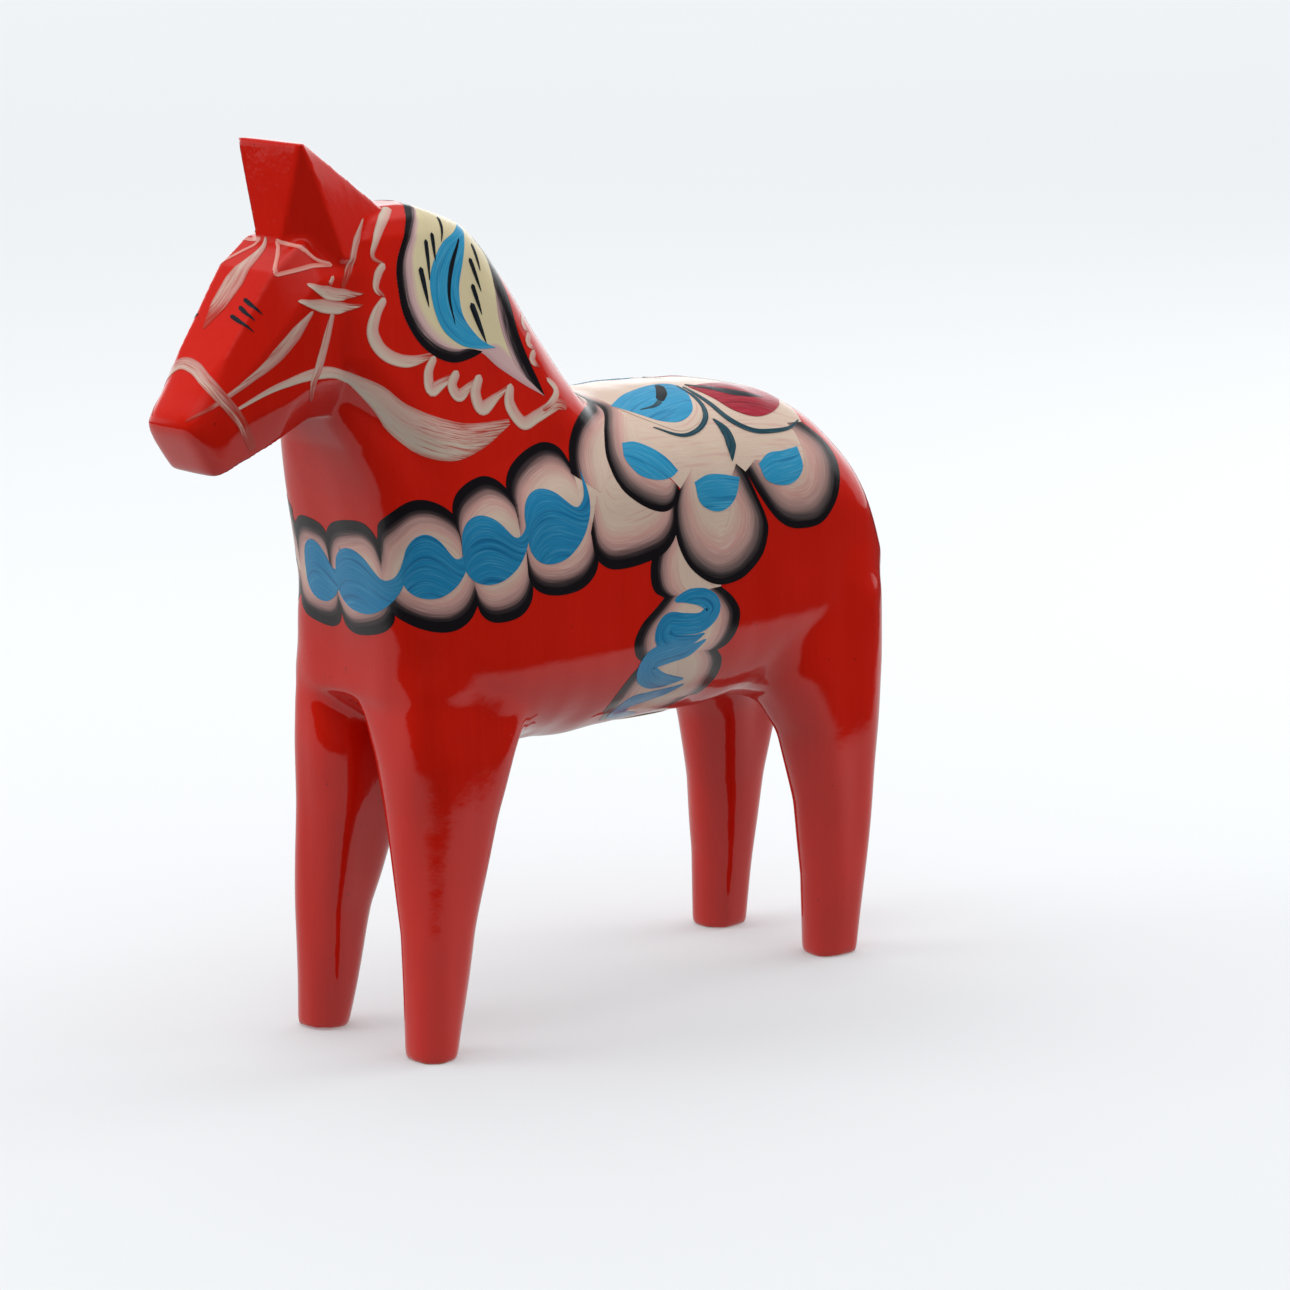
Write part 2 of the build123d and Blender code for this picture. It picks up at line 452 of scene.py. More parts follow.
class Graph:
    """Short names for the few nodes the materials use."""

    def __init__(self, name):
        self.material = bpy.data.materials.new(name)
        self.material.use_nodes = True
        self.tree = self.material.node_tree
        self.surface = self.tree.nodes["Principled BSDF"]

    def put(self, kind, feeds=None, **settings):
        node = self.tree.nodes.new(kind)
        for key, value in settings.items():
            setattr(node, key, value)
        for socket, value in (feeds or {}).items():
            self.feed(node.inputs[socket], value)
        return node

    def feed(self, socket, value):
        if isinstance(value, bpy.types.NodeSocket):
            self.tree.links.new(value, socket)
        else:
            socket.default_value = value

    def dress(self, feeds):
        for socket, value in feeds.items():
            self.feed(self.surface.inputs[socket], value)

    def math(self, operation, a, b=0.0):
        return self.put("ShaderNodeMath", {0: a, 1: b}, operation=operation).outputs[0]

    def plus(self, a, b):
        return self.math("ADD", a, b)

    def minus(self, a, b):
        return self.math("SUBTRACT", a, b)

    def times(self, a, b):
        return self.math("MULTIPLY", a, b)

    def over(self, a, b):
        return self.math("DIVIDE", a, b)

    def mix(self, share, a, b):
        return self.put("ShaderNodeMix", {0: share, 6: a, 7: b}, data_type="RGBA").outputs[2]

    def noise(self, vector, scale, detail, rough=0.5):
        feeds = {"Vector": vector, "Scale": scale, "Detail": detail, "Roughness": rough}
        return self.put("ShaderNodeTexNoise", feeds).outputs["Fac"]

    def between(self, value, low, high, out_low=0.0, out_high=1.0):
        feeds = {0: value, 1: low, 2: high, 3: out_low, 4: out_high}
        return self.put("ShaderNodeMapRange", feeds, interpolation_type="SMOOTHSTEP").outputs[0]

    def ramp(self, value, stops):
        node = self.put("ShaderNodeValToRGB", {0: value})
        elements = node.color_ramp.elements
        while len(elements) < len(stops):
            elements.new(0.5)
        for element, (position, colour) in zip(elements, stops):
            element.position = position
            element.color = colour
        return node.outputs[0]

    def point(self):
        return self.put("ShaderNodeTexCoord").outputs["Object"]

    def stretched(self, vector, scale):
        return self.put("ShaderNodeVectorMath", {0: vector, 1: scale}, operation="MULTIPLY").outputs[0]

    def vector(self, x, y, z):
        return self.put("ShaderNodeCombineXYZ", {0: x, 1: y, 2: z}).outputs[0]

    def parts(self, vector):
        return self.put("ShaderNodeSeparateXYZ", {0: vector}).outputs

    def attribute(self, name):
        return self.put("ShaderNodeAttribute", attribute_name=name).outputs["Vector"]

    def bump(self, height, strength, distance, normal=None):
        feeds = {"Height": height, "Strength": strength, "Distance": distance}
        if normal is not None:
            feeds["Normal"] = normal
        return self.put("ShaderNodeBump", feeds).outputs[0]

    def finish(self, colour, roughness, normal, coat, coat_roughness):
        specular = 0.5 - 0.45 * coat if isinstance(coat, float) else 0.05
        self.dress({"Base Color": colour, "Roughness": roughness, "Normal": normal, "Coat Weight": coat,
                    "Coat Roughness": coat_roughness, "Coat Normal": normal, "Specular IOR Level": specular})
        return self.material


RED = (0.70, 0.0098, 0.0016, 1)
RED_DEEP = (0.60, 0.0085, 0.0016, 1)
RED_WARM = (0.78, 0.021, 0.0045, 1)


def varnish(graph):
    """Ripples and dust specks in the gloss coat."""
    point = graph.point()
    ripple = graph.noise(point, 210, 3, 0.55)
    specks = graph.between(graph.noise(point, 900, 1), 0.74, 0.80)
    sag = graph.noise(point, 60, 2)
    height = graph.plus(graph.times(ripple, 0.55), graph.times(sag, 0.8))
    height = graph.plus(height, graph.times(specks, 0.35))
    return graph.bump(height, 0.5, 0.00022)


def red_lacquer():
    graph = Graph("red_lacquer")
    point = graph.point()
    patches = graph.between(graph.noise(point, 16, 3), 0.32, 0.68)
    brushed = graph.noise(graph.stretched(point, (420, 420, 26)), 1.0, 3, 0.6)
    strokes = graph.between(brushed, 0.35, 0.7)
    colour = graph.mix(patches, RED_DEEP, RED)
    colour = graph.mix(graph.times(strokes, 0.14), colour, RED_WARM)
    # small dark specks scattered at random over the red, with no pit in the surface under them
    dark_specks = graph.between(graph.noise(point, 330, 1), 0.76, 0.84)
    colour = graph.mix(graph.times(dark_specks, 0.55), colour, (0.16, 0.004, 0.002, 1))
    height = graph.parts(point)[2]
    ragged = graph.plus(height, graph.times(graph.noise(point, 260, 3), 0.0022))
    worn = graph.between(ragged, 0.0017, 0.0010)
    colour = graph.mix(worn, colour, (0.46, 0.24, 0.10, 1))
    roughness = graph.between(graph.noise(point, 40, 2), 0.3, 0.7, 0.30, 0.42)
    coat = graph.minus(1.0, graph.times(worn, 0.9))
    return graph.finish(colour, roughness, varnish(graph), coat, 0.055)


def bare_pine():
    graph = Graph("bare_pine")
    point = graph.point()
    rings = graph.stretched(point, (160, 26, 160))
    grain = graph.noise(rings, 1.0, 4, 0.6)
    feeds = {"Vector": graph.stretched(point, (1, 0.12, 1)), "Scale": 120.0, "Distortion": 3.5, "Detail": 3.0}
    bands = graph.put("ShaderNodeTexWave", feeds, bands_direction="X").outputs["Fac"]
    colour = graph.mix(graph.between(bands, 0.35, 0.9), (0.62, 0.38, 0.18, 1), (0.42, 0.21, 0.08, 1))
    colour = graph.mix(graph.times(grain, 0.4), colour, (0.70, 0.48, 0.26, 1))
    return graph.finish(colour, 0.62, graph.bump(grain, 0.4, 0.0002), 0.0, 0.3)


def label_paper():
    graph = Graph("label_paper")
    point = graph.point()
    low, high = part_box(LABEL)
    x, y, _ = graph.parts(point)
    middle = (low + high) / 2
    half = (high - low) / 2
    dx = graph.over(graph.minus(x, middle.x), half.x)
    dy = graph.over(graph.minus(y, middle.y), half.y)
    reach = graph.math("SQRT", graph.plus(graph.times(dx, dx), graph.times(dy, dy)))
    band = graph.times(graph.between(reach, 0.78, 0.80), graph.between(reach, 0.88, 0.86))
    fibre = graph.noise(point, 2600, 4, 0.7)
    stain = graph.between(graph.noise(point, 90, 3), 0.4, 0.75)
    colour = graph.mix(graph.times(stain, 0.5), (0.60, 0.47, 0.26, 1), (0.42, 0.29, 0.13, 1))
    colour = graph.mix(graph.times(fibre, 0.3), colour, (0.72, 0.60, 0.38, 1))
    colour = graph.mix(graph.times(band, 0.8), colour, (0.16, 0.03, 0.02, 1))
    return graph.finish(colour, 0.55, graph.bump(fibre, 0.5, 0.0001), 0.15, 0.3)


def bristles(graph):
    """Fine and broad streaks that run along the stroke, and the distance across it."""
    along, across, seed = graph.parts(graph.attribute("stroke"))
    shift = graph.times(seed, 37.0)
    wander = graph.noise(graph.vector(graph.times(along, 0.05), shift, 0.0), 1.0, 1)
    lane = graph.plus(across, graph.times(graph.minus(wander, 0.5), 1.1))
    fine_at = graph.vector(graph.times(along, 0.075), graph.times(lane, 2.0), shift)
    broad_at = graph.vector(graph.times(along, 0.03), graph.times(lane, 0.55), shift)
    return graph.noise(fine_at, 1.0, 3, 0.62), graph.noise(broad_at, 1.0, 2, 0.5), across


def relief(graph, fine, strength=0.55):
    return graph.bump(fine, strength, 0.00012, varnish(graph))


def ramp_paint(name, stops, reach, pale, pale_share, dark=None):
    """Paint whose colour changes with the distance from the stroke's outer edge, in mm."""
    graph = Graph(name)
    fine, broad, across = bristles(graph)
    uneven = graph.times(graph.minus(broad, 0.5), 2.2)
    streaky = graph.times(graph.minus(fine, 0.5), 2.0)
    place_mm = graph.plus(graph.plus(across, uneven), streaky)
    colour = graph.ramp(graph.over(place_mm, reach), [(mm / reach, srgb(*c)) for mm, c in stops])
    lit = graph.times(graph.between(fine, 0.48, 0.70), graph.between(across, reach * 0.25, reach * 0.6))
    colour = graph.mix(graph.times(lit, pale_share), colour, srgb(*pale))
    if dark is not None:
        shade = graph.times(graph.between(broad, 0.56, 0.74), graph.between(across, reach * 0.3, reach))
        colour = graph.mix(graph.times(shade, 0.40), colour, srgb(*dark))
    return graph.finish(colour, 0.36, relief(graph, fine), 0.9, 0.07)


def flat_paint(name, main, light, dark, light_share, dark_share):
    graph = Graph(name)
    fine, broad, _ = bristles(graph)
    lit, shade = graph.between(fine, 0.46, 0.68), graph.between(broad, 0.52, 0.72)
    colour = graph.mix(graph.times(lit, light_share), srgb(*main), srgb(*light))
    colour = graph.mix(graph.times(shade, dark_share), colour, srgb(*dark))
    return graph.finish(colour, 0.38, relief(graph, fine), 0.9, 0.07)


def dry_paint(name, first, second, cover, worn=0.30):
    """Pale paint pulled thin, so that the red below shows between the bristles."""
    graph = Graph(name)
    fine, broad, _ = bristles(graph)
    run, side, _ = graph.parts(graph.attribute("share"))
    turn = graph.between(graph.plus(side, graph.times(broad, 0.5)), 0.35, 1.1)
    colour = graph.mix(turn, srgb(*first), srgb(*second))
    edge = graph.times(graph.between(side, 0.0, 0.16, 0.55, 1.0), graph.between(side, 1.0, 0.84, 0.55, 1.0))
    tail = graph.between(run, 0.55, 1.0, 0.0, worn)
    wet = graph.plus(graph.times(fine, 0.85), graph.times(broad, 0.35))
    amount = graph.minus(graph.plus(wet, cover), tail)
    mask = graph.times(graph.between(amount, 0.52, 0.84), edge)
    colour = graph.mix(mask, (0.52, 0.035, 0.02, 1), colour)
    return graph.finish(colour, 0.40, relief(graph, fine, 0.7), 0.85, 0.08)


BLACK = (24, 20, 24)
PINK = (218, 166, 156)
ROSE = (206, 142, 132)
CREAM = (229, 202, 182)
PALE = (238, 222, 206)
YELLOW = (232, 216, 174)

red_paint = red_lacquer()
pine = bare_pine()
paper = label_paper()
scallop_paint = ramp_paint(
    "scallop_paint",
    [(0, BLACK), (3, BLACK), (4.6, (66, 54, 56)), (7, (184, 142, 136)), (9.5, PINK), (15, CREAM)],
    16, PALE, 0.40, ROSE)
petal_paint = ramp_paint(
    "petal_paint",
    [(0, BLACK), (1.9, BLACK), (3.6, (92, 80, 80)), (6.6, (186, 148, 140)), (10, PINK), (16, CREAM)],
    18, PALE, 0.42, ROSE)
panel_paint = ramp_paint(
    "panel_paint",
    [(0, (205, 160, 160)), (3, (218, 180, 180)), (7, (220, 184, 180)), (9.5, YELLOW), (16, YELLOW)],
    18, (240, 230, 190), 0.35, (214, 196, 150))
border_paint = ramp_paint(
    "border_paint",
    [(0, BLACK), (2.7, BLACK), (3.9, (64, 54, 58)), (5.4, (196, 158, 158)), (7, (216, 178, 176))],
    8, (226, 196, 192), 0.3)
ground_paint = flat_paint("ground_paint", CREAM, PALE, (218, 168, 156), 0.40, 0.6)
blue_paint = flat_paint("blue_paint", (32, 138, 188), (100, 184, 218), (15, 100, 152), 0.36, 0.7)
sky_paint = flat_paint("sky_paint", (48, 158, 204), (122, 198, 226), (26, 120, 172), 0.36, 0.7)
crimson_paint = flat_paint("crimson_paint", (172, 24, 48), (214, 92, 104), (112, 10, 28), 0.45, 0.6)
ink_paint = flat_paint("ink_paint", (24, 30, 38), (52, 66, 76), (12, 14, 18), 0.5, 0.5)
teal_paint = flat_paint("teal_paint", (38, 76, 90), (92, 130, 140), (20, 40, 52), 0.5, 0.6)
white_paint = dry_paint("white_paint", (220, 168, 156), (220, 200, 182), 0.28)
thin_white_paint = dry_paint("thin_white_paint", (212, 152, 142), (220, 190, 174), 0.19)
swoosh_paint = dry_paint("swoosh_paint", (226, 186, 172), (216, 198, 180), 0.25, 0.20)
outline_paint = dry_paint("outline_paint", (232, 132, 118), (236, 168, 154), 0.50)


# -------------------- staves

def skin_bmesh():
    body = bmesh.new()
    mesh = mesh_from("skin_work", skin_co * MM, skin_quads.tolist())
    store(mesh, "skin_normal", skin_normal)
    mark_tops(mesh, np.ones(len(mesh.polygons)))
    body.from_mesh(mesh)
    bpy.data.meshes.remove(mesh)
    return body


def half_of(body, where_mm, axis, keep_high):
    """The part of a closed body on one side of a plane, closed again with bare wood."""
    part = body.copy()
    point, direction = [0.0] * 3, [0.0] * 3
    point[axis], direction[axis] = where_mm * MM, 1.0
    cut = bmesh.ops.bisect_plane(
        part, geom=part.verts[:] + part.edges[:] + part.faces[:], dist=1e-7, plane_co=point,
        plane_no=direction, clear_inner=keep_high, clear_outer=not keep_high)
    rim = [e for e in cut["geom_cut"] if isinstance(e, bmesh.types.BMEdge) and e.is_valid and e.is_boundary]
    if rim:
        filled = bmesh.ops.triangle_fill(part, edges=rim, use_beauty=True, use_dissolve=False)
        flag = part.faces.layers.int["top"]
        for item in filled["geom"]:
            if isinstance(item, bmesh.types.BMFace):
                item.material_index = 1
                item[flag] = 0
    return part


def slices(body, cuts, axis):
    """The body cut at each place along an axis, low to high."""
    parts, rest = [], body
    for where in cuts:
        parts.append(half_of(rest, where, axis, False))
        rest = half_of(rest, where, axis, True)
    return parts + [rest]


def make_stave(name, part):
    bmesh.ops.recalc_face_normals(part, faces=part.faces[:])
    mesh = bpy.data.meshes.new("carved_" + name)
    part.to_mesh(mesh)
    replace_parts(add_piece("carved_" + name, mesh, (red_paint, pine)), name)


OUTER = ["head_stave", "foreleg_stave", "rib_stave", "loin_stave", "hindleg_stave"]
CENTRE = ["head_stave", "chest_stave", "rib_stave", "loin_stave", "rump_stave"]
board_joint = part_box("centre_rib_stave")[1].x / MM
body = skin_bmesh()
for board, part in zip(("right_", "centre_", "left_"), slices(body, (-board_joint, board_joint), 0)):
    names = [board + stave for stave in (CENTRE if board == "centre_" else OUTER)]
    joints = [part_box(name)[1].y / MM for name in names[:-1]]
    for name, stave in zip(names, slices(part, joints, 1)):
        make_stave(name, stave)

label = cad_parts[LABEL]
label.data.materials.clear()
label.data.materials.append(paper)


# -------------------- mane

def mane(side, word):
    piece = Painting(word + "_mane_panel_paint", side)
    # the pale panel, with a dark border behind it and one in front
    front = [(2, -59, 304), (10, -64, 303), (19, -72, 295), (22, -78, 286), (24, -79, 277), (25, -78, 268),
             (27, -73, 259), (28, -66, 253), (28.5, -58, 250), (28.5, -50, 250.5), (28, -44, 252)]
    crest = [(14, -29, 283), (19, -27, 276), (23, -26, 267), (26, -25, 258), (29, -22, 248),
             (31, -19, 240), (32, -17, 234)]
    piece.sheet(
        front + [(29, -37, 246), (30.5, -26, 239), (32, -17, 234)],
        [(0, -58, 304), (0, -50, 302), (0, -42, 298), (1, -35, 294), (8, -31, 289)] + crest, 0.05,
        panel_paint)
    piece.sheet(
        [(7, -31, 289)] + crest,
        [(13, -37, 289), (16, -34, 284), (20, -34, 274), (24, -34, 264), (27, -32, 254), (29, -28, 245),
         (31, -21, 238), (32, -17, 234)], 0.09, border_paint, (2.2, 0.8))
    piece.sheet(
        front,
        [(3, -57, 304), (11, -60, 302), (17, -65, 298), (20, -70.5, 288), (22, -72, 278), (24, -71.5, 269),
         (26, -67, 261), (27, -61, 256), (28, -55, 254.5), (28, -49, 254), (28, -43.5, 252.5)], 0.11,
        border_paint, (0.8, 1))
    # the leaf, its vein and the hatching on both sides of it
    piece.sheet(
        [(-42.5, 296), (-49, 294), (-56, 290.5), (-63, 281.5), (-64, 271.5), (-61, 262), (-54, 256),
         (-45.5, 253.5), (-37, 253)],
        [(-42.5, 296), (-42, 294), (-44.5, 290.5), (-48, 283), (-51, 274.5), (-50.5, 265.5), (-45, 258),
         (-41, 255), (-37, 253)], 0.16, sky_paint)
    piece.ribbon([(-47, 292), (-53, 283), (-56, 273), (-55, 263)], [0.6, 2, 1.4, 0.3], 0.22, ink_paint)
    for start, end, width in (
        ((-52, 299.5), (-55.5, 291.5), 1.2), ((-59, 295), (-60, 285), 1.5), ((-62.5, 293), (-64, 279), 1.6),
        ((-67.5, 284), (-66, 270), 2.1), ((-40.5, 289.5), (-39.5, 280), 1.5),
        ((-44, 285), (-40.5, 273), 1.7), ((-44.5, 276), (-41.5, 265), 1.8), ((-46, 269.5), (-41, 255), 2.4),
    ):
        piece.ribbon(dash(start, end), [width, width, width * 0.7, 0.2], 0.2, ink_paint)
    piece.finish()

    piece = Painting(word + "_mane_edge_paint", side)
    for points, widths in (
        ([(-70.5, 304), (-80, 299.5), (-86, 293.5), (-88, 289), (-83.5, 286.5)], [3.4, 4, 3.4, 2.2, 1.2]),
        ([(-83.5, 286.5), (-87, 283.5), (-89, 278.5), (-85.5, 275.5)], [2.6, 3.4, 2.6, 1.2]),
        ([(-85.5, 275), (-90.5, 270), (-93, 264), (-90.5, 258), (-84.5, 254), (-76, 252.5), (-62, 254.5)],
         [2.6, 4.6, 5.4, 5, 4.4, 2.4, 0.5]),
        ([(-66, 253), (-70, 248), (-70, 242), (-64.5, 243.5), (-56, 247)], [2.6, 4.2, 5, 3, 0.8]),
        ([(-56.5, 247), (-60, 242.5), (-57.5, 238.5), (-52, 241), (-46, 244)], [3.2, 4.4, 4.6, 2.6, 0.8]),
        ([(-46, 244.5), (-49.5, 238.5), (-47.5, 233), (-40.5, 236), (-32.5, 240)], [3.4, 5, 5.2, 2.6, 0.8]),
        ([(-32.5, 240), (-34.5, 233), (-29.5, 226), (-22, 227.5), (-12, 230.5), (-6, 229)],
         [3.2, 5.2, 5, 4.6, 4.6, 3.4]),
        ([(-14.5, 240), (-10.5, 236), (-12, 233), (-19, 229)], [1.6, 3.6, 3, 1.6]),
    ):
        piece.ribbon(points, widths, 0.10, white_paint)
    for top in (262, 256, 250):
        lick = [(-17.5, top), (-20, top - 3), (-16.5, top - 6)]
        piece.ribbon(lick, [2.4, 3.2, 1], 0.10, thin_white_paint)
    piece.finish()


# -------------------- head

def head(side, word):
    piece = Painting(word + "_bridle_paint", side)
    for points, widths in (
        ([(23.6, -118, 273.6), (22.7, -126, 265.7), (20.4, -135, 257), (18.4, -142, 252), (16.4, -150, 247),
          (13.5, -158, 242.5), (9, -164, 239)], [1, 4.8, 4.6, 2.8, 1.8, 1.6, 0.6]),
        ([(14.6, -87, 302), (18.7, -94.3, 294), (20, -99, 286.6), (22, -103.7, 280)], [0.6, 3.2, 3.6, 2.6]),
        ([(23, -108.5, 272), (23.5, -112, 263.7), (24, -116, 254), (23.6, -118.5, 247.8),
          (20.5, -117, 242)], [2.2, 3.6, 3.6, 2.6, 1.4]),
        ([(22.5, -107.5, 284.8), (23.3, -110.5, 281.5)], [1.4, 2]),
    ):
        piece.ribbon(points, widths, 0.12, thin_white_paint)
    for points in (
        [(21, -118.5, 282.6), (24, -114, 280.2), (22.5, -106, 278), (23, -94.6, 277.4)],
        [(21.5, -123, 277.2), (23.8, -116.5, 275.6), (22.5, -106, 273.4), (24, -95.5, 273.6)],
    ):
        piece.ribbon(points, [1, 4.8, 4.2, 0.5], 0.17, white_paint)
    piece.finish()

    piece = Painting(word + "_eye_paint", side)
    for points in (
        [(4, -115, 296), (9.4, -121.2, 291), (14.8, -127.5, 286)],
        [(14.8, -127.5, 286), (17.4, -116.7, 287.1), (20, -106, 288.2)],
        [(20, -106, 288.2), (13.5, -113.5, 288.5), (4, -115, 296)],
    ):
        piece.ribbon(points, [1.5, 1.8, 1.5], 0.13, outline_paint)
    for lash in (
        ((7, -135, 278), (16, -134, 273)), ((6.6, -136.6, 275.3), (15, -136.6, 271)),
        ((4.6, -139, 272.4), (16, -138, 267.5)),
    ):
        # the far eye's lashes stand clear of the stripe down the nose
        start, end = (lash if side > 0 else [tuple(np.add(spot, (7, 1, -2.5))) for spot in lash])
        piece.ribbon(dash(start, end), [1.4, 1.6, 1.1, 0.2], 0.15, ink_paint)
    piece.finish()

    piece = Painting(word + "_throat_paint", side)
    piece.sheet(
        [(17.4, -147, 242.8), (21.4, -132, 250), (23.8, -116, 254), (22.1, -103.5, 251.5),
         (27.5, -91, 245.5), (30.3, -81.5, 238), (32.2, -68, 232), (33, -54, 228.5), (33, -36, 228)],
        [(17.4, -147, 241.6), (21.4, -132, 247.5), (23.8, -116.5, 249.8), (22.1, -103.6, 247.5),
         (24.4, -93.5, 238), (26.4, -86, 227.7), (30.2, -75.6, 219.5), (34.7, -63, 216.4),
         (34.6, -49, 219.5), (33.7, -36, 226)], 0.10, swoosh_paint)
    piece.finish()


# -------------------- breast band

# Both edges of the wave stroke inside a scallop, as shares of its size.
COMMA_TOP = [(0, 0.55), (0.03, 0.80), (0.14, 0.96), (0.32, 1), (0.52, 0.88), (0.74, 0.60), (0.86, 0.60),
             (0.94, 0.72), (1, 0.98)]
COMMA_LOW = [(0, 0.55), (0.02, 0.28), (0.13, 0.09), (0.32, 0), (0.55, 0.01), (0.78, 0.16), (0.93, 0.40),
             (0.99, 0.66), (1, 0.98)]


def comma(piece, corner, size, tilt=0, drop=on_skin):
    """The wave stroke inside a scallop, from its lower left corner."""
    cos, sin = math.cos(math.radians(tilt)), math.sin(math.radians(tilt))
    (left, low), (width, height) = corner, size
    edges = [[(left + width * s * cos - height * t * sin, low + width * s * sin + height * t * cos)
              for s, t in outline] for outline in (COMMA_TOP, COMMA_LOW)]
    piece.sheet(*edges, 0.20, blue_paint, drop=drop)


def flank_band(side, word):
    piece = Painting(word + "_breast_band_paint", side)
    piece.sheet(
        [(-88.5, 186), (-75, 190), (-62, 190), (-50, 195), (-38, 197), (-24, 203), (-11, 206),
         (37, -3, 211), (36, 5, 213)],
        [(-88.5, 172), (-72, 166), (-57, 168), (-45, 167), (-34, 170), (-18, 172), (-2, 176), (15, 175),
         (38, 186)], 0.04, ground_paint)
    core = [(-89, 175), (-84, 176), (-75, 178), (-65, 178), (-55, 180), (-45, 184), (-35, 187), (-24, 190),
            (-12, 192), (0, 195), (14, 197)]
    for start, end, rise, lean, fullness, core_from, core_to in (
        ((-56, 165), (-84.5, 172.5), 12.5, 0.03, 0.90, -59, -84),
        ((-32, 169.5), (-57, 167.5), 11.5, 0, 0.85, -36, -59),
        ((0, 176), (-35, 177.5), 13.5, 0, 0.85, -5, -36),
        ((-88.5, 184), (-61, 192), 17, -0.08, 1.05, -87, -62),
        ((-62.5, 190), (-38, 199), 15.5, -0.07, 0.80, -62, -38),
        ((-39.5, 197), (-9, 209), 14.5, -0.02, 0.82, -38, -8),
    ):
        piece.sheet(
            arch(start, end, rise, lean, fullness), level_with(core, core_from, core_to, 5), 0.08,
            scallop_paint, (1.25, 0.8))
    # the link that runs up over the withers to the saddle flower
    piece.sheet(
        [(38, -10, 206), (35, -8, 216), (31, -3, 223), (26, 6, 225.5), (20, 14, 225), (10, 20, 227)],
        [(41, 2, 198), (40, 6, 202), (38, 12, 207), (34, 18, 213), (28, 22, 219), (20, 26, 223)], 0.10,
        scallop_paint, (1, 0.7))
    piece.sheet(
        arch((40, 188), (-4, 184), 17), [(34, 199), (22, 200), (10, 200), (0, 197)], 0.10, scallop_paint,
        (1.15, 1))
    comma(piece, (-83, 168.5), (24, 23))
    comma(piece, (-61, 170.5), (29, 25), 5)
    comma(piece, (-32, 173), (33, 28), 12)
    piece.finish()


def chest_band():
    piece = Painting("chest_band_paint")
    piece.sheet(
        [(-23, 184), (-13, 188), (-4.5, 183), (8, 189), (23.5, 186)],
        [(-23, 166), (-11, 158), (-1, 161), (12, 158), (25, 165)], 0.04, ground_paint, drop=on_chest)
    core = [(-24, 173), (-12, 172), (-3, 172), (10, 174), (22, 175)]
    for start, end, rise, core_from, core_to in (
        ((-1, 161), (-24, 165.5), 8.5, -2, -24), ((25, 166), (-1.5, 161), 9.5, 23, -2),
        ((-23.5, 185.5), (-4.5, 182), 10, -23, -4), ((-5, 181), (23, 185), 12.5, -4, 22),
    ):
        piece.sheet(
            arch(start, end, rise), level_with(core, core_from, core_to, 4), 0.09, scallop_paint,
            (1.2, 0.85), on_chest)
    comma(piece, (-19, 163.5), (21, 22), drop=on_chest)
    comma(piece, (-1.5, 162), (31, 23), drop=on_chest)
    piece.finish()


# -------------------- saddle flower

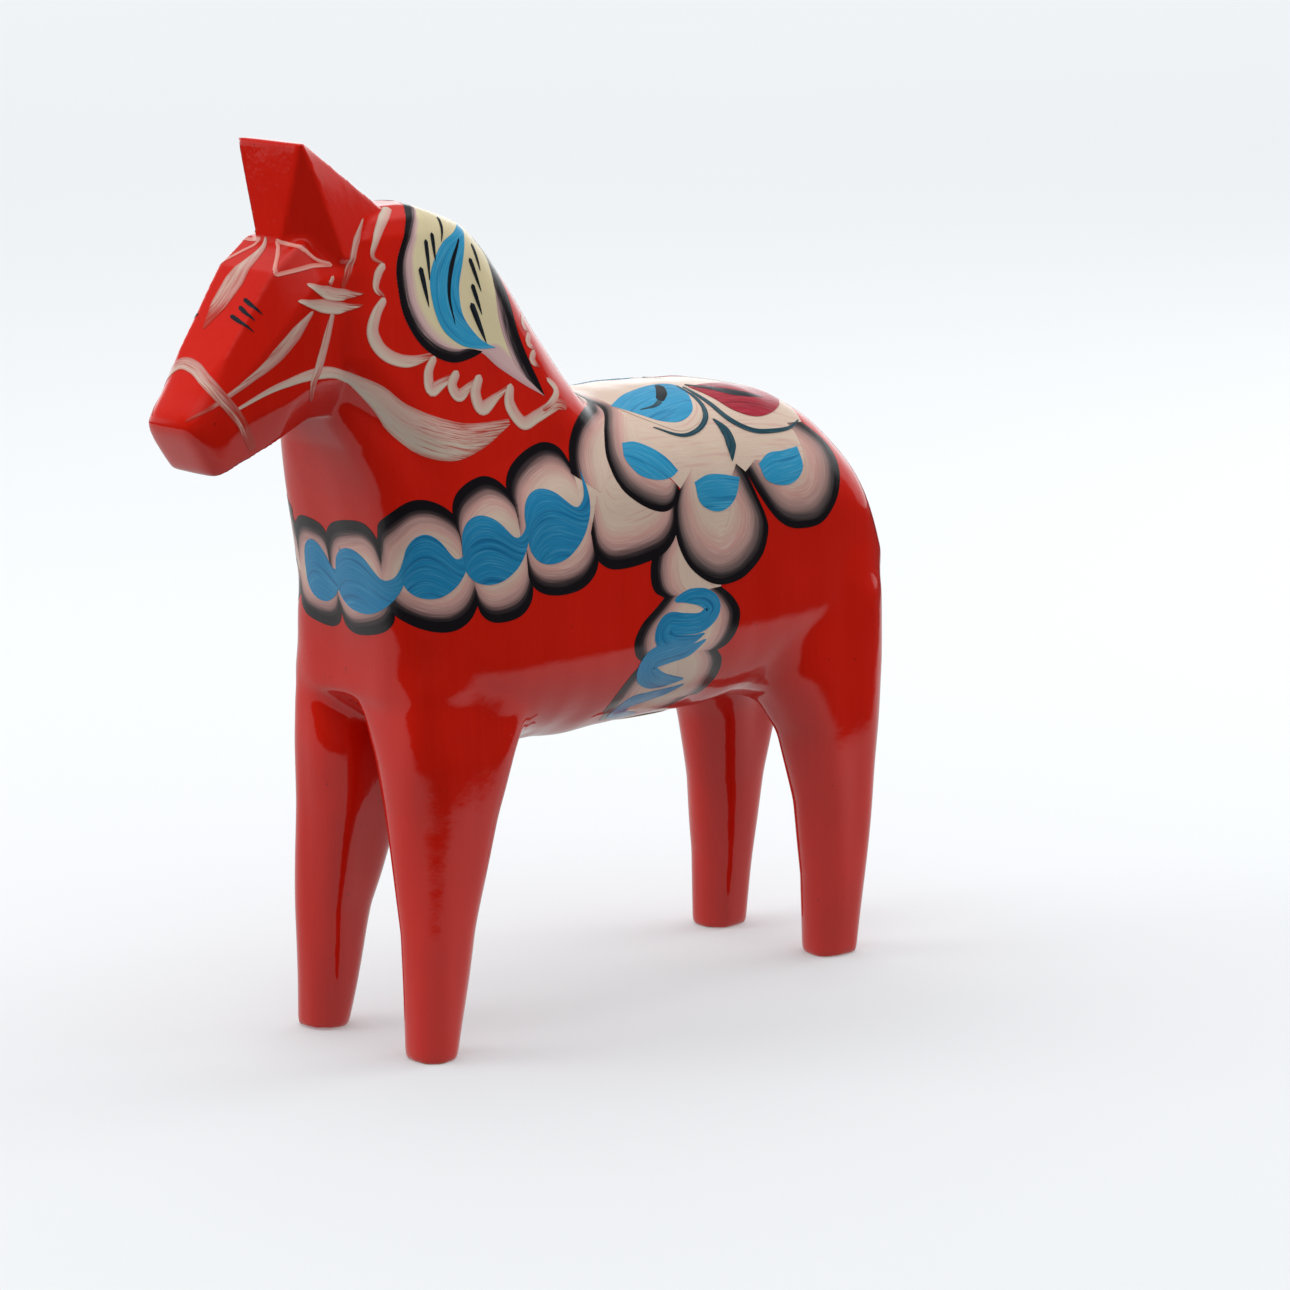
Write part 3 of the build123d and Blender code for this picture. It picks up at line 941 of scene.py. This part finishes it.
def saddle(side, word):
    piece = Painting(word + "_saddle_flower_paint", side)
    piece.sheet(
        [(0, 2, 240), (0, 20, 228), (0, 40, 228), (0, 60, 227), (0, 80, 226), (0, 100, 224), (0, 117, 218)],
        [(16, 12, 225), (28, 16, 219), (38, 28, 207), (41, 42, 194), (42, 50, 182), (42, 60, 170),
         (42, 70, 178), (41, 76, 195), (40, 86, 196), (40, 100, 191), (37.5, 109, 195), (33, 116, 204),
         (22, 119, 210)], 0.05, ground_paint)
    # petals: an outer edge and the spine its strokes fade towards
    piece.sheet(
        [(29, 118.5, 209), (32, 129, 200), (35, 131.5, 193), (39, 129, 185), (40, 124, 177.5),
         (41, 116, 172), (41.5, 105.5, 171.5), (41.7, 97.5, 173.5), (42, 90, 178.5), (42, 82, 187.5),
         (41, 76, 196.5)],
        [(30, 108, 209), (33, 110, 205), (36, 110, 198), (39, 106, 192), (40, 100, 193), (40, 92, 198),
         (39.5, 82, 200)], 0.10, petal_paint, (2.1, 0.9))
    piece.sheet(
        [(42, 40, 193), (42, 38, 186), (42, 39.5, 176), (42, 44.5, 166.5), (42, 52, 160), (42, 60, 156.5),
         (42, 68, 156.2), (42, 76, 158.5), (42, 84, 164.5), (42, 87, 173), (42, 85.5, 179), (42, 81, 187),
         (41, 76, 196.5)],
        [(40, 50, 202), (41, 54, 194), (42, 58, 184), (42, 61, 176), (42, 64, 176), (42, 67, 184),
         (41.5, 68, 194), (40.5, 72, 200)], 0.13, petal_paint, (0.85, 1.9))
    piece.sheet(
        [(8, 8, 235), (14, 14, 226), (22, 20, 223.5), (30.5, 12.5, 217), (37, 9, 208.6), (41, 12, 199),
         (42, 20, 192), (42, 30, 187.5), (42, 37, 188), (42, 41, 194)],
        [(10, 22, 227), (18, 26, 225), (25, 28, 221), (30, 28, 216), (35, 28, 211), (38, 29, 206),
         (40, 32, 201), (41, 36, 199), (41.5, 40, 196)], 0.16, petal_paint)
    # short blue dabs, flat where the brush went down
    for upper, lower in (
        ([(34, 19, 213), (34.5, 25, 213), (36, 31, 210.5), (38, 37, 206), (40.5, 41.5, 201)],
         [(34, 19, 213), (37.5, 17.5, 208), (40, 22, 202), (40.8, 30, 199), (40.8, 37, 199),
          (40.5, 41.5, 201)]),
        ([(41.5, 49, 196), (41, 56, 197.8), (41.3, 64, 197), (41.6, 72.5, 195)], [(41.5, 49, 196),
          (42, 51, 188.5), (42, 57, 184.5), (42, 64, 184), (42, 69.5, 187.5), (41.6, 72.5, 195)]),
        ([(40.3, 83.5, 198.5), (39, 90, 201.5), (38.5, 98, 201.5), (37.3, 107.5, 202)],
         [(40.3, 83.5, 198.5), (41.3, 86, 192.5), (41.5, 93, 189.5), (41.2, 101.5, 189.5),
          (39.6, 107.5, 194), (37.3, 107.5, 202)]),
    ):
        piece.sheet(upper, lower, 0.24, sky_paint)
    # inner petals on the top of the back
    piece.sheet(
        [(12.5, 70), (19, 70.5), (27, 67), (32, 58), (32.5, 48), (27, 35), (21, 26)],
        [(10, 66), (12, 62), (15, 56), (17, 50), (18, 44), (19, 36), (21, 26)], 0.20, ground_paint,
        drop=on_back)
    piece.sheet(
        [(21, 26), (16, 36), (12.5, 46), (9.5, 60), (11, 68), (16, 68.5)],
        [(21, 26), (25.5, 35), (29, 43), (30, 53), (27, 62), (20, 67.5), (16, 68.5)], 0.25, sky_paint,
        drop=on_back)
    for points, widths, lift, material in (
        ([(10.5, 61), (16, 57), (21, 51)], [3.6, 4.4, 3], 0.32, ink_paint),
        ([(21, 51.5), (23, 46), (24, 38)], [2.2, 1.2, 0.3], 0.32, teal_paint),
        ([(12, 68.5), (21.5, 69.5), (28.5, 67.5), (32.5, 61), (34, 53), (33.5, 46), (31, 38)],
         [1.2, 2, 2.2, 1.8, 1.2, 0.4], 0.30, teal_paint),
    ):
        piece.ribbon(points, widths, lift, material, on_back)
    piece.sheet(
        [(13, 74), (11, 84), (10, 95), (11, 105), (14, 113), (18, 117)],
        [(13, 74), (22, 77.5), (28, 82), (30.5, 91), (29, 101), (24, 111), (18, 117)], 0.24, crimson_paint,
        drop=on_back)
    piece.ribbon(
        [(11, 74), (15.5, 82), (19, 89), (20.5, 97), (20.5, 106)], [0.8, 3.4, 5, 3.4, 0.5], 0.30, ink_paint,
        on_back)
    piece.ribbon(
        [(13, 71), (23.5, 73), (31, 77), (34.5, 86), (34.5, 97), (32.5, 108), (28.5, 117)],
        [1, 2, 2.4, 2, 1.8, 1.4, 0.5], 0.29, teal_paint, on_back)
    piece.ribbon(
        [(30.5, 69.5, 216), (33.5, 72, 212), (36.5, 72.5, 208), (39.5, 70.5, 201)], [0.6, 4.2, 4.6, 0.4],
        0.30, teal_paint)
    piece.finish()


# -------------------- girth and nose

def girth(side, word):
    piece = Painting(word + "_girth_paint", side)
    spine_high = [(44, 176), (45, 168), (46, 160), (46, 153)]
    spine_mid = [(46, 155), (45, 147), (42, 139), (40, 132)]
    spine_low = [(40, 134), (38, 126), (36, 117), (33, 35, 108), (26, 34, 103)]
    piece.sheet(
        [(30, 178), (28, 168), (30, 158), (34, 155)], [(62, 178), (62, 168), (62, 160), (62, 155)], 0.03,
        ground_paint)
    for lobe, spine, swell in (
        ([(31, 178), (26.5, 170), (26, 163), (28, 158), (33, 155)], spine_high, (0.9, 1.1)),
        ([(33, 155.5), (28, 151.5), (21.5, 146.5), (18, 140.5), (19.5, 135), (24, 132)], spine_mid, (1, 1)),
        ([(24, 132.5), (18.5, 128), (14, 121), (13, 114), (33, 15, 107), (26, 18, 103)], spine_low, (1, 1)),
        ([(62, 155.5), (68, 151), (72, 145), (71, 138), (67, 133), (62, 131)], spine_mid, (1, 1)),
        ([(62, 131.5), (66, 127), (67, 120), (64, 113), (34, 58, 107), (26, 52, 103)], spine_low, (1, 1)),
    ):
        piece.sheet(lobe, spine, 0.06, scallop_paint, swell)
    for points, widths in (
        ([(38, 153.5), (46, 154), (54, 152), (58, 147.5), (52, 143.5), (43, 144), (35, 145), (32.5, 140.5),
          (38, 137.5), (47, 137.5), (54, 139)], [1.5, 5.4, 7, 8, 7.6, 8, 8.6, 9, 6.8, 4, 0.6]),
        ([(55, 136.5), (46, 133.5), (37, 133.5), (29, 133), (26, 128.5), (31, 124.5), (39, 122.5),
          (48, 122)], [0.6, 4.2, 6.8, 8.6, 9.8, 8.2, 5.4, 0.8]),
        ([(50, 119.5), (42, 117.5), (33, 116.5), (25, 115.5), (23, 111.5), (29, 109), (38, 108)],
         [0.6, 4.2, 6.4, 7.6, 8, 6.2, 2]),
    ):
        piece.ribbon(points, widths, 0.16, blue_paint)
    piece.finish()


def nose():
    piece = Painting("nose_stripe_paint")
    piece.ribbon(
        [(-1.5, -115, 297), (-1, -123, 290), (-2.5, -131, 282), (-4, -137, 275), (-5.5, -143, 267)],
        [1, 5.5, 10, 8.5, 0.8], 0.13, thin_white_paint)
    piece.finish()

    piece = Painting("noseband_paint")
    piece.ribbon(
        [(-16, -139, 227), (-17, -143.5, 234), (-17, -147.5, 240), (-14, -151.5, 249), (-8, -150.8, 255.5),
         (0, -151.3, 255), (7, -152.6, 252), (14, -153, 247.8), (17, -147.5, 240), (17, -143.5, 234),
         (16, -139, 227)], [3.2, 4.2, 4.6, 4.8, 4.6, 4.2, 3.2], 0.14, thin_white_paint)
    piece.finish()


# Pieces further down the list lie over the earlier ones.
for side, word in ((1, "left"), (-1, "right")):
    girth(side, word)
    flank_band(side, word)
    saddle(side, word)
    mane(side, word)
    head(side, word)
chest_band()
nose()


# -------------------- studio

def stage_plane(name, size, z, material, unseen_by):
    """A wide square that only some kinds of ray can see."""
    verts = [(-size, -size, z), (size, -size, z), (size, size, z), (-size, size, z)]
    plane = place(name, mesh_from(name, verts, [(0, 1, 2, 3)]))
    plane.data.materials.append(material)
    for ray in unseen_by:
        setattr(plane, "visible_" + ray, False)


def stage_floor():
    graph = Graph("studio_floor")
    point = graph.point()
    mottled = graph.noise(point, 2.2, 2)
    colour = graph.mix(mottled, (0.57, 0.58, 0.59, 1), (0.58, 0.59, 0.60, 1))
    graph.finish(colour, 0.9, graph.bump(mottled, 0.02, 0.001), 0.0, 0.5)
    x, y, _ = graph.parts(point)
    away = graph.plus(graph.times(x, -0.713), graph.times(y, 0.70))
    near, far = graph.between(away, -0.5, 0.8, 0.193, 0.247), graph.between(away, 0.8, 4.7, 0.0, 0.095)
    graph.dress({"Emission Color": (0.955, 0.98, 1.0, 1), "Emission Strength": graph.plus(near, far),
                 "Specular IOR Level": 0.0})
    stage_plane("studio_floor", 14.0, 0.0, graph.material, ("glossy", "diffuse"))


def table_glow():
    """What the gloss mirrors of the table: bright near the feet, fading out towards the camera's side."""
    graph = Graph("table_glow")
    x, y, _ = graph.parts(graph.point())
    x, y = graph.plus(x, 0.5), graph.plus(y, -0.1)
    reach = graph.math("SQRT", graph.plus(graph.times(x, x), graph.times(y, y)))
    level = graph.between(reach, 0.80, 0.93, 0.62, 0.02)
    emission = graph.put("ShaderNodeEmission", {"Color": (1, 0.98, 0.97, 1), "Strength": level}).outputs[0]
    graph.feed(graph.tree.nodes["Material Output"].inputs["Surface"], emission)
    stage_plane("table_glow", 3.0, -0.001, graph.material, ("camera", "diffuse", "shadow"))


def studio_world():
    world = bpy.data.worlds.new("studio")
    bpy.context.scene.world = world
    world.use_nodes = True
    graph = Graph.__new__(Graph)
    graph.tree = world.node_tree
    background = graph.tree.nodes["Background"]
    direction = graph.put("ShaderNodeTexCoord").outputs["Generated"]
    turn = math.radians(150)
    up, window = Vector((0, 0, 1)), Vector((math.cos(turn), math.sin(turn), 0)).normalized()

    def towards(aim, low, high, out_low, out_high):
        dot = graph.put("ShaderNodeVectorMath", {0: direction, 1: aim}, operation="DOT_PRODUCT")
        return graph.between(dot.outputs["Value"], low, high, out_low, out_high)

    # what the gloss mirrors: a bright window, dimmer above it, and the ceiling
    pane = graph.plus(towards(window, 0.26, 0.38, 0.035, 0.52), towards(window, 0.38, 0.95, 0.0, 0.85))
    mirrored = graph.times(pane, towards(up, 0.42, 0.2, 0.22, 1.0))
    mirrored = graph.plus(mirrored, towards(up, 0.55, 0.95, 0.0, 0.7))
    soft = graph.times(towards(up, 0.0, 1.0, 0.36, 1.22), towards(window, -0.1, 1.0, 0.90, 1.42))
    rays = graph.put("ShaderNodeLightPath")
    strength = graph.put("ShaderNodeMix", {0: rays.outputs["Is Glossy Ray"], 2: soft, 3: mirrored}).outputs[0]
    colour = graph.mix(rays.outputs["Is Camera Ray"], (0.97, 0.985, 1.0, 1), srgb(238, 243, 247))
    graph.feed(background.inputs["Color"], colour)
    graph.feed(background.inputs["Strength"], strength)


def stand(obj, where_m, direction):
    obj.location = where_m
    obj.rotation_euler = direction.to_track_quat("-Z", "Y").to_euler()


def area_light(name, where_m, target_m, size_m, watts):
    data = bpy.data.lights.new(name, "AREA")
    data.shape = "RECTANGLE"
    data.size = data.size_y = size_m
    data.energy = watts
    lamp = place(name, data)
    stand(lamp, where_m, Vector(target_m) - Vector(where_m))
    lamp.visible_glossy = False


def camera():
    data = bpy.data.cameras.new("camera")
    data.lens = 139.5
    data.sensor_width = 36.0
    view = place("camera", data)
    yaw, pitch = math.radians(45.5), math.radians(11.82)
    stand(view, (1.3132, -1.2262, 0.512), Vector(
        (-math.sin(yaw) * math.cos(pitch), math.cos(yaw) * math.cos(pitch), -math.sin(pitch))))
    bpy.context.scene.camera = view


stage_floor()
table_glow()
studio_world()
area_light("overhead", (-0.3, 0.3, 1.9), (0, 0, 0.15), 2.2, 7.0)
area_light("left_window", (-1.2, -1.6, 1.1), (0, 0, 0.18), 1.2, 13.0)
area_light("right_window", (0.5, 2.0, 0.9), (0, 0, 0.15), 1.2, 13.0)
camera()
bpy.context.scene.view_settings.view_transform = "Standard"
